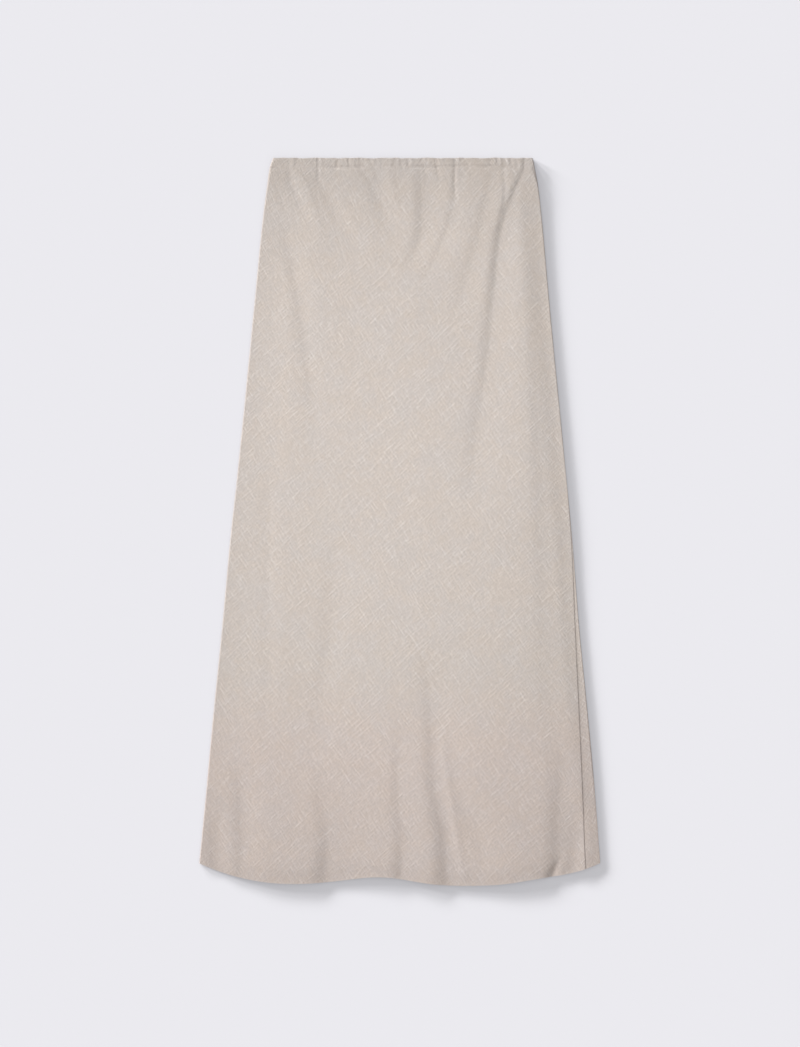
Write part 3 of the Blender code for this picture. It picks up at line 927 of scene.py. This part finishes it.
@dataclass
class ClothPanel:
    """The front or the back of the skirt, from the casing's seam to the hem."""

    form: SkirtForm
    layer: Layer
    rows: int
    columns: int
    crowding: float = 0.62
    fullness: float = 0.16
    fullness_reach: float = 90.0
    seam_lap: float = 0.5
    seam_gap: float = 0.12
    seam_ridge: float = 0.26
    ridge_reach: float = 6.0
    lap_steps: tuple[Pair, ...] = ((0.4, 1.5), (0.6, 13.0))
    edge_groove: Groove = Groove(0.34, 0.30, 0.0, 1.1)
    # Painted shade along the front's fold and near the waist, and painted light along the back's fold edge.
    painted_fold_shade: float = 0.16
    painted_edge_light: float = 0.30
    edge_light_reach: Pair = (60.0, 120.0)
    painted_gather_shade: float = 0.11
    gather_reach: float = 60.0
    shade_reach: float = 1.8
    end_margin: float = 2.2
    margin_share: float = 0.4
    end_steps: tuple[float, ...] = (0.0, 0.16, 0.36, 0.64)
    bend_reach: float = 9.0
    bend_steps: int = 9
    bend_powers: Pair = (1.3, 1.4)
    mean_lift: float = 10.0
    area_steps: int = 200
    grooved_above: float = -0.5

    def shares(self) -> Array:
        """Where the rows lie between casing and hem; they crowd towards both."""
        u = np.linspace(0.0, 1.0, self.rows)
        return u - self.crowding * np.sin(2 * math.pi * u) / (2 * math.pi)

    def stations(self, bend: float, end: float) -> Array:
        """Distances along a row, even across it and closer together round its fold.

        Args:
            bend: How far from the row's start the outermost line of its fold is.
            end: The row's length.

        Returns:
            The distances.
        """
        margin = min(self.end_margin, self.margin_share * (end - bend))
        edge = margin * np.array(self.end_steps)
        across = np.linspace(margin, bend - self.bend_reach, self.columns)
        steps = np.linspace(0.0, 1.0, self.bend_steps + 1)
        before = bend - self.bend_reach * steps[-2::-1] ** self.bend_powers[0]
        after = bend + (end - margin - bend) * steps[1:] ** self.bend_powers[1]
        return np.concatenate([edge, across, before, after, end - edge[::-1]])

    def row(self, share: float) -> tuple[Array, Array, Array]:
        """One row of the panel.

        Args:
            share: How far down it is, from 0 to 1.

        Returns:
            Its points, the place of each on the flat cloth, and the painted shade on each, below 0 where it
            is painted light.
        """
        form = self.form
        points, right, left = form.loop(share)
        reach = reaches(points)
        around = reach[-1]
        corner = form.panel_drop(form.hem_half_width, share, Layer.FRONT)
        cut_right = reach[right] + form.side("front_seam", corner)
        cut_left = reach[left] + form.side("back_seam", corner)
        # The front's fold carries painted shade; the back's fold edge carries painted light where it turns
        # away from the light.
        if self.layer is Layer.FRONT:
            start, bend, end = cut_right, reach[left], cut_left - self.seam_lap / 2
            middle, sign, painted_shading = (reach[right] + reach[left]) / 2, -1.0, self.painted_fold_shade
        else:
            start, bend = cut_left + self.seam_lap / 2, reach[right] + around
            end, middle, sign = cut_right + around + self.seam_lap, around, 1.0
            upper, fall = self.edge_light_reach
            painted_shading = -self.painted_edge_light * float(ease((corner - upper) / fall))
        at = start + self.stations(bend - start, end - start)
        twice = np.concatenate([points, points[1:]])
        far = np.concatenate([reach, reach[1:] + around])
        places = along(twice, far, at)
        inward = np.gradient(twice, axis=0)[:, [2, 1, 0]] * (-1.0, 0.0, 1.0)
        inward /= np.maximum(np.linalg.norm(inward, axis=1), 1e-9)[:, None]
        places += self.sink(at, cut_right, around)[:, None] * along(inward, far, at)
        drop = places[:, 1]
        flat = sign * (at - middle) * (1.0 + self.fullness * np.exp(-drop / self.fullness_reach))
        # Painted shade or painted light round the fold, and painted shade that deepens towards the waist.
        shade = painted_shading * bell((at - bend) / self.shade_reach)
        shade = shade + self.painted_gather_shade * np.exp(-drop / self.gather_reach)
        return places, np.column_stack([flat, -drop]), shade

    def sink(self, at: Array, cut_right: float, around: float) -> Array:
        """How far the right-hand seam draws the cloth in, where one edge laps the other.

        Args:
            at: Distances along the row.
            cut_right: Where the seam is.
            around: The length of the whole loop.

        Returns:
            Distances, below 0 where the cloth is pushed out.
        """
        if self.layer is Layer.FRONT:
            return -self.seam_ridge * bell((at - cut_right) / self.ridge_reach)
        past = cut_right + around + self.seam_lap - at
        rise = sum(part * ease(past / reach) for part, reach in self.lap_steps)
        return (self.form.wall + self.seam_gap - self.seam_ridge) * (1.0 - rise)

    def flat_area(self) -> float:
        """How much cloth the panel takes, with what the waist gathers up.

        Returns:
            Its area in square metres.
        """
        lowest = self.form.length - self.mean_lift
        drops = np.linspace(self.form.seam_drop, lowest, self.area_steps)
        width = self.form.side("left", drops) + self.form.side("right", drops)
        full = 1.0 + self.fullness * np.exp(-drops / self.fullness_reach)
        return float(np.mean(width * full) * (drops[-1] - drops[0]) * MM * MM)

    def build(self, finish: Material, rests_on: list[str]) -> Object:
        """Builds the panel and hides the solid that it stands for.

        Args:
            finish: Its material.
            rests_on: The pieces that it lies on; not used.

        Returns:
            The panel.
        """
        form, node = self.form, f"{self.layer.value}_panel"
        points, weave, shade = map(np.array, zip(*(self.row(share) for share in self.shares())))
        x, drop, height = np.moveaxis(points, -1, 0)
        if self.layer is Layer.FRONT:
            dip = form.sunk(self.edge_groove, x, drop - form.casing_edge(x))
            points[..., 2] -= dip * ease(height - form.waist_middle - self.grooved_above)
        else:
            points[..., 2] = np.maximum(height, form.wall / 2)
        places = to_metres(points, form.length)
        made = shell(f"{node}_cloth", places, weave, shade, form.wall, finish)
        stand_in(made, node)
        size = (2 * form.hem_half_width * MM, (form.length - form.seam_drop) * MM)
        area = min(self.flat_area(), size[0] * size[1])
        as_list(rests_on)
        return made


@dataclass
class WaistCasing:
    """Half of the folded strip round the elastic, drawn up into fine shirring."""

    form: SkirtForm
    layer: Layer
    columns: int
    outer_rows: int = 15
    fold_rows: int = 8
    inner_rows: int = 6
    bend_steps: int = 9
    halves_gap: float = 0.12
    edge_gap: float = 0.05
    squareness: float = 0.65
    roundness: float = 0.5
    top_drop: float = 1.25
    end_ease: float = 14.0
    tilt: float = 0.35
    pull: Triple = (1.7, 0.8, 1.6)
    deepest: float = -0.5
    highest: float = 0.75
    back_pull: Pair = (1.1, 0.5)
    back_deepest: float = -0.2
    meets_panel: Pair = (0.62, 1.0)
    lip: Groove = Groove(0.22, 0.20, 0.0, 1.3)
    stitched: Groove = Groove(0.14, 0.10, 1.7, 0.8)
    scallops: Waves = (Wave(0.24, 3.1), Wave(1.3, 11.0), Wave(0.2, 6.7))
    allowance: float = 1.2
    cut_at: float = 6.0
    cut_fullness: float = 1.15
    cut_metres: float = 0.026
    fullness: float = 1.18
    # Painted shade along the fold at the top of the strip, and over the strip, deeper towards its top.
    painted_fold_shade: float = 0.24
    painted_gather_shade: float = 0.065
    painted_top_shade: float = 0.03
    stitch_end: float = 9.0
    stitch_drop: float = 10.0
    stitch_points: int = 500
    stitch_rows: int = 31
    stitch_from: float = 0.7

    @property
    def node(self) -> str:
        """The solid that the casing stands for."""
        return f"casing_{self.layer.value}"

    def section(self) -> Array:
        """The strip in section, from its outer lower edge over the fold to its inner one.

        Returns:
            Rows of a turn, from 1 on the outer ply to -1 on the inner one, and a share of the way
            down from the fold to the lower edge, which is 0 round the fold itself.
        """
        outer = [(1.0, 1.0 - i / self.outer_rows) for i in range(self.outer_rows)]
        turn = [(math.cos(math.pi * i / self.fold_rows), 0.0) for i in range(self.fold_rows + 1)]
        inner = [(-1.0, self.allowance * (i + 1) / self.inner_rows) for i in range(self.inner_rows)]
        return np.array(outer + turn + inner)

    def gathers(self, x: Array, drop: Array, share: float) -> Array:
        """How far the elastic draws the strip up into ridges and down into creases.

        Args:
            x: Places across the skirt.
            drop: Places down it.
            share: The place down the ply, from 0 to 1.

        Returns:
            What they add to the strip's height.
        """
        fine = self.form.shirr(x, drop)
        if self.layer is Layer.BACK:
            pull, waves = self.back_pull
            drawn = -pull * relief(BACK_FOLDS, x, drop) - waves * np.abs(fine)
            return np.clip(drawn, self.back_deepest, 0.0)
        parts = (relief(SHIRRING, x, drop), relief(WAIST_FOLDS, x, drop), fine)
        drawn = sum(pull * part for pull, part in zip(self.pull, parts))
        slope = self.tilt * share
        return np.clip(drawn, self.deepest + slope, self.highest) - slope

    def ring(self, turn: float, share: float) -> Array:
        """Half of a ring of points round the waist.

        Args:
            turn: The place in the section's fold, from 1, outside, to -1, inside.
            share: The place down the ply, from 0 to 1.

        Returns:
            Points with columns x, drop and height, from right to left.
        """
        form, radius = self.form, self.form.ply_step
        bend = form.elastic_bend + radius * turn
        left, right = form.waist_ends(radius + (form.seam_drop - radius) * share)
        quarter = np.linspace(0.0, math.pi / 2, self.bend_steps + 1)[:-1]
        run = np.linspace(right, left, self.columns)
        out = bend * np.cos(quarter) ** self.squareness
        up = bend * np.sin(quarter) ** self.squareness
        x = np.concatenate([right + out, run, left - out[::-1]])
        height = np.concatenate([up, np.full(len(run), bend), up[::-1]])
        height = np.maximum(height, (self.halves_gap + form.wall) / 2)
        edge = form.casing_edge(x)
        lower = edge - self.edge_gap
        over = 0.0 if share else radius * self.roundness * math.sqrt(max(1.0 - turn * turn, 0.0))
        top = radius + form.wall / 2 + self.top_drop * (1.0 - share)
        drop = top - over + (lower - radius) * share
        inside = ease(np.minimum(x - left, right - x) / self.end_ease)
        height += inside * (1.0 + turn) / 2 * self.gathers(x, drop, share)
        if turn == 1.0:
            if self.layer is Layer.FRONT:
                start, end = self.meets_panel
                panel = form.front_height(x, drop) - form.waist_middle
                height += inside * float(ease((share - start) / (end - start))) * (panel - height)
            height -= inside * sum(
                form.sunk(groove, x, lower - drop) for groove in (self.lip, self.stitched)
            )
        drop += inside * wander(x, self.scallops) * (1.0 - share)
        sign = 1.0 if self.layer is Layer.FRONT else -1.0
        return np.column_stack([x, drop, form.waist_middle + sign * height])

    def build(self, finish: Material, rests_on: list[str]) -> Object:
        """Builds the casing and hides the solid that it stands for.

        Args:
            finish: Its material.
            rests_on: The pieces that it lies on; not used.

        Returns:
            The casing.
        """
        form, section = self.form, self.section()
        if self.layer is Layer.FRONT:
            section = section[::-1]
        points = np.array([self.ring(turn, share) for turn, share in section])
        down = np.array([reaches(column) for column in points.swapaxes(0, 1)]).T
        weave = np.stack([points[..., 0] * self.fullness, -down], axis=-1)
        share = section[:, 1:]
        # Painted shade: darker along the fold and towards the top of the strip.
        upper = self.painted_gather_shade + self.painted_top_shade * (1.0 - np.minimum(share, 1.0))
        shade = np.maximum(self.painted_fold_shade * (share == 0.0), upper)
        places = to_metres(points, form.length)
        made = shell(f"{self.node}_cloth", places, weave, shade, form.wall, finish)
        stand_in(made, self.node)
        width = form.side("left", self.cut_at) + form.side("right", self.cut_at)
        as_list(rests_on)
        return made

    def stitch_line(self, lift: float) -> Array:
        """The line that the casing's topstitch follows, just above its lower edge.

        Args:
            lift: How far the thread's middle stands out from the middle of the cloth.

        Returns:
            Points in metres, from right to left.
        """
        form = self.form
        shares = np.linspace(self.stitch_from, 1.0, self.stitch_rows)
        grid = np.array([self.ring(1.0, share) for share in shares])
        ends = (form.side(way, self.stitch_drop) for way in ("right", "left"))
        right, left = (end - self.stitch_end for end in ends)
        line = []
        for x in np.linspace(right, -left, self.stitch_points):
            column = grid[:, int(np.argmin(np.abs(grid[0, :, 0] - x)))]
            want = form.casing_edge(x) - self.stitched.inset
            line.append(column[int(np.argmin(np.abs(column[:, 1] - want)))])
        line = np.array(line)
        line[:, 2] += lift if self.layer is Layer.FRONT else -lift
        return to_metres(line, form.length)


@dataclass
class WaistElastic:
    """The woven elastic, one relaxed band all round inside the casing."""

    form: SkirtForm
    node: str = "waist_elastic"
    width: float = 8.0
    thickness: float = 0.45
    top: float = 2.4
    settle: float = 0.25
    rows: int = 5
    columns: int = 120
    bend_steps: int = 12

    def ring(self, drop: float) -> Array:
        """One closed row of the band, from under its right end over the top and back.

        Args:
            drop: How far below the top of the waist it is.

        Returns:
            Points with columns x, drop and height.
        """
        form, bend = self.form, self.form.elastic_bend - self.settle
        left, right = form.waist_ends(drop)
        turn = np.linspace(-math.pi / 2, math.pi / 2, self.bend_steps + 1)
        run = np.linspace(right, left, self.columns)[1:-1]
        out, up, level = bend * np.cos(turn), bend * np.sin(turn), np.full(len(run), bend)
        x = np.concatenate([right + out, run, left - out, run[::-1]])
        height = np.concatenate([up, level, -up, -level])
        return np.column_stack([x, np.full(len(x), drop), form.waist_middle + height])

    def build(self, finish: Material) -> Object:
        """Builds the band as a closed ring and hides the solid that it stands for.

        Args:
            finish: Its material.

        Returns:
            The band.
        """
        drops = np.linspace(self.top, self.top + self.width, self.rows)
        points = np.array([self.ring(drop) for drop in drops])
        weave = np.stack([np.tile(reaches(points[0]), (self.rows, 1)), -points[..., 1]], axis=-1)
        places, bare = to_metres(points, self.form.length), np.zeros((1, 1))
        made = shell(f"{self.node}_band", places, weave, bare, self.thickness, finish, closed=True)
        stand_in(made, self.node)
        return made


@dataclass
class Topstitch:
    """A row of lockstitches made by geometry nodes along a line on a solid's cloth."""

    node: str
    seed: int
    pitch: float = 2.7
    length: float = 2.25
    thickness: float = 0.26
    unevenness: float = 0.06
    inputs: dict[str, str] = field(default_factory=dict)

    def tree(self) -> NodeTree:
        """Builds the node tree, with its sizes as named inputs.

        Returns:
            The tree.
        """
        tree = bpy.data.node_groups.new(f"{self.node} stitches", "GeometryNodeTree")
        face = tree.interface
        for way in ("INPUT", "OUTPUT"):
            face.new_socket("Geometry", in_out=way, socket_type="NodeSocketGeometry")
        kinds = dict.fromkeys(("Pitch", "Length", "Thickness", "Unevenness"), "Float")
        for label, kind in (kinds | {"Seed": "Int", "Thread": "Material"}).items():
            made = face.new_socket(label, in_out="INPUT", socket_type=f"NodeSocket{kind}")
            self.inputs[label] = made.identifier
        graph = Graph(tree)
        given = graph.node("NodeGroupInput").outputs
        curve = graph.node("GeometryNodeMeshToCurve", {0: given["Geometry"]}).outputs[0]
        inputs = {"Curve": curve, "Length": given["Pitch"]}
        spaced = graph.node("GeometryNodeCurveToPoints", inputs, mode="LENGTH").outputs
        ball = graph.node("GeometryNodeMeshUVSphere", {"Segments": 8, "Rings": 6, "Radius": 0.5})
        inputs = {"Min": (-1.0, -1.0, -1.0), "Max": (1.0, 1.0, 1.0), "Seed": given["Seed"]}
        jitter = graph.node("FunctionNodeRandomValue", inputs, data_type="FLOAT_VECTOR").outputs[0]
        parts = graph.node("ShaderNodeSeparateXYZ", {0: jitter}).outputs
        sway = graph.math("MULTIPLY", parts[0], given["Unevenness"])
        size = graph.math("MULTIPLY_ADD", parts[1], given["Unevenness"], 1.0)
        long, wide = graph.math("MULTIPLY", given["Length"], size), given["Thickness"]
        scale = graph.node("ShaderNodeCombineXYZ", {0: wide, 1: wide, 2: long}).outputs[0]
        turn = graph.node("ShaderNodeCombineXYZ", {0: sway}).outputs[0]
        inputs = {0: spaced["Rotation"], 1: turn}
        turned = graph.node("FunctionNodeRotateRotation", inputs, rotation_space="LOCAL").outputs[0]
        inputs = {"Points": spaced["Points"], "Instance": ball.outputs["Mesh"]}
        inputs |= {"Rotation": turned, "Scale": scale}
        placed = graph.node("GeometryNodeInstanceOnPoints", inputs).outputs[0]
        real = graph.node("GeometryNodeRealizeInstances", {0: placed}).outputs[0]
        smooth = graph.node("GeometryNodeSetShadeSmooth", {0: real}).outputs[0]
        inputs = {"Geometry": smooth, "Material": given["Thread"]}
        dressed = graph.node("GeometryNodeSetMaterial", inputs).outputs[0]
        graph.node("NodeGroupOutput", {0: dressed})
        return tree

    def build(self, line: Array, finish: Material) -> Object:
        """Sews the stitches along a line and says that they ride on the skirt.

        Args:
            line: Points in metres.
            finish: The thread's material.

        Returns:
            The stitches as one plain mesh.
        """
        path = bpy.data.meshes.new(f"{self.node} line")
        path.from_pydata(line.tolist(), [(i, i + 1) for i in range(len(line) - 1)], [])
        guide = put(f"{self.node}_line", path)
        nodes = guide.modifiers.new("stitches", "NODES")
        nodes.node_group = self.tree()
        sizes = {"Pitch": self.pitch, "Length": self.length, "Thickness": self.thickness}
        values = {label: size * MM for label, size in sizes.items()}
        values |= {"Unevenness": self.unevenness, "Seed": self.seed, "Thread": finish}
        for label, value in values.items():
            nodes[self.inputs[label]] = value
        made = put(f"{self.node}_stitches", as_built(guide))
        made.data.name = made.name
        bpy.data.objects.remove(guide, do_unlink=True)
        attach(made, "root")
        self.node
        return made


class Sun(NamedTuple):
    """A distant lamp: its share of the light on level cloth, then its angles in degrees."""

    name: str
    level: float
    height: float
    bearing: float
    softness: float


@dataclass
class Studio:
    """Pale floor, even light from all round, a long lamp above, and light from the upper left."""

    floor_colour: Triple = (0.831, 0.823, 0.863)
    floor_reach: float = 6.0
    floor_height: float = -0.0002
    floor_glow: float = 0.30
    world_level: float = 0.24
    key: Sun = Sun("key", 0.38, 17.0, 138.0, 18.0)
    floor_suns: tuple[Sun, ...] = (
        Sun("first floor sun", 0.80, 8.0, 152.0, 8.0),
        Sun("second floor sun", 0.79, 8.0, 135.0, 6.0),
        Sun("third floor sun", 0.42, 8.0, 119.0, 5.0),
        Sun("floor fill", 1.55, 90.0, 0.0, 150.0),
    )
    lamp_level: float = 0.55
    lamp_place: Triple = (-0.035, 0.116, 0.51)
    lamp_size: Pair = (0.15, 1.0)
    lens: float = 85.0
    frame_height: float = 1.2564
    aim: Pair = (0.0006, -0.0018)

    def show(self, tree: NodeTree, output: str, lit: Node, kind: str, share: float) -> None:
        """Shows the eye the floor's plain colour, whatever lights the skirt.

        Args:
            tree: The nodes of the floor or the world.
            output: Their output node.
            lit: The node that lights the skirt.
            kind: The kind of node that glows.
            share: How much of the plain colour is seen.
        """
        graph = Graph(tree)
        plain = graph.node(kind, {"Color": self.floor_colour + (1.0,), "Strength": 1.0})
        ray, seen = graph.node("ShaderNodeLightPath").outputs, 0.0
        for way in ("Camera", "Glossy", "Transmission"):
            seen = graph.math("MAXIMUM", ray[f"Is {way} Ray"], seen)
        inputs = {0: graph.math("MULTIPLY", seen, share), 1: lit.outputs[0], 2: plain.outputs[0]}
        both = graph.node("ShaderNodeMixShader", inputs).outputs[0]
        graph.feed(tree.nodes[output].inputs["Surface"], both)

    def floor(self) -> Object:
        """Lays the floor just under the skirt; it glows a little, but only to the eye.

        Returns:
            The floor.
        """
        light = self.world_level + sum(sun.level for sun in self.floor_suns)
        tone = tuple(part / light for part in self.floor_colour) + (1.0,)
        levels = {"Base Color": tone, "Roughness": 1.0, "Specular IOR Level": 0.0}
        finish, graph, shader = new_material("studio floor", levels)
        self.show(graph.tree, "Material Output", shader, "ShaderNodeEmission", self.floor_glow)
        mesh = bpy.data.meshes.new("studio floor")
        ways = ((-1, -1), (1, -1), (1, 1), (-1, 1))
        corners = [(x * self.floor_reach, y * self.floor_reach, self.floor_height) for x, y in ways]
        mesh.from_pydata(corners, [], [(0, 1, 2, 3)])
        mesh.materials.append(finish)
        made = put("studio_floor", mesh)
        return made

    @staticmethod
    def shine(sun: Sun) -> Object:
        """Adds one distant lamp.

        Args:
            sun: Its light and where it stands.

        Returns:
            The lamp's object.
        """
        lamp = bpy.data.lights.new(sun.name, "SUN")
        height, bearing = math.radians(sun.height), math.radians(sun.bearing)
        lamp.energy = sun.level * math.pi / math.sin(height)
        lamp.angle = math.radians(sun.softness)
        made = put(sun.name.replace(" ", "_"), lamp)
        level = math.cos(height)
        way = Vector((math.cos(bearing) * level, math.sin(bearing) * level, math.sin(height)))
        made.rotation_euler = (-way).to_track_quat("-Z", "Y").to_euler()
        return made

    def lamp(self) -> Object:
        """Hangs the long lamp above the skirt, out of the camera's sight.

        Returns:
            The lamp's object.
        """
        light = bpy.data.lights.new("soft lamp", "AREA")
        light.shape = "RECTANGLE"
        light.size, light.size_y = self.lamp_size
        light.energy = self.lamp_level * (math.pi * self.lamp_place[2]) ** 2
        made = put("soft_lamp", light)
        made.location = self.lamp_place
        made.visible_camera = False
        return made

    def light(self, floor: Object) -> None:
        """Sets the even world light, the long lamp above, the key and the floor's own suns.

        Args:
            floor: The floor.  Its suns light it alone, and the lamp and the key leave it out, so
                it stays even, and the skirt's shadow on it is long and soft.
        """
        world = bpy.data.worlds.new("studio")
        bpy.context.scene.world = world
        world.use_nodes = True
        back = world.node_tree.nodes["Background"]
        back.inputs["Color"].default_value = (1.0, 1.0, 1.0, 1.0)
        back.inputs["Strength"].default_value = self.world_level
        self.show(world.node_tree, "World Output", back, "ShaderNodeBackground", 1.0)
        spared = bpy.data.collections.new("left out by the lamp and the key")
        lit = bpy.data.collections.new("lit by the floor's suns")
        for group in (spared, lit):
            group.objects.link(floor)
        spared.collection_objects[0].light_linking.link_state = "EXCLUDE"
        for lamp in (self.lamp(), self.shine(self.key)):
            lamp.light_linking.receiver_collection = spared
        for sun in self.floor_suns:
            self.shine(sun).light_linking.receiver_collection = lit

    def camera(self) -> None:
        """Hangs the camera straight above the skirt."""
        lens = bpy.data.cameras.new("camera")
        lens.lens, lens.sensor_fit, lens.sensor_height = self.lens, "VERTICAL", SENSOR
        made = put("camera", lens)
        made.location = (*self.aim, self.frame_height * self.lens / SENSOR)
        bpy.context.scene.camera = made
        bpy.context.scene.view_settings.view_transform = "Standard"


def report(made: Object) -> None:
    """Logs a finished piece."""
    LOG.info("%s: %d points, %d faces", made.name, len(made.data.vertices), len(made.data.polygons))


def main() -> None:
    """Builds the pieces in order."""
    logging.basicConfig(level=logging.INFO, format="%(name)s: %(message)s")
    form = SkirtForm()
    linen, thread, elastic = (made.material() for made in (LinenFinish(), THREAD, ELASTIC))

    back = ClothPanel(form, Layer.BACK, rows=100, columns=120).build(linen, [])
    report(back)
    front = ClothPanel(form, Layer.FRONT, rows=216, columns=190).build(linen, [back.name])
    report(front)
    for layer, columns, seed, under in (
        (Layer.BACK, 260, 8, []),
        (Layer.FRONT, 430, 3, [back.name]),
    ):
        casing = WaistCasing(form, layer, columns)
        report(casing.build(linen, under))
        line = casing.stitch_line(form.wall / 2 - THREAD_SUNK)
        report(Topstitch(casing.node, seed).build(line, thread))
    report(WaistElastic(form).build(elastic))

    studio = Studio()
    studio.light(studio.floor())
    studio.camera()


if __name__ == "__main__":
    main()
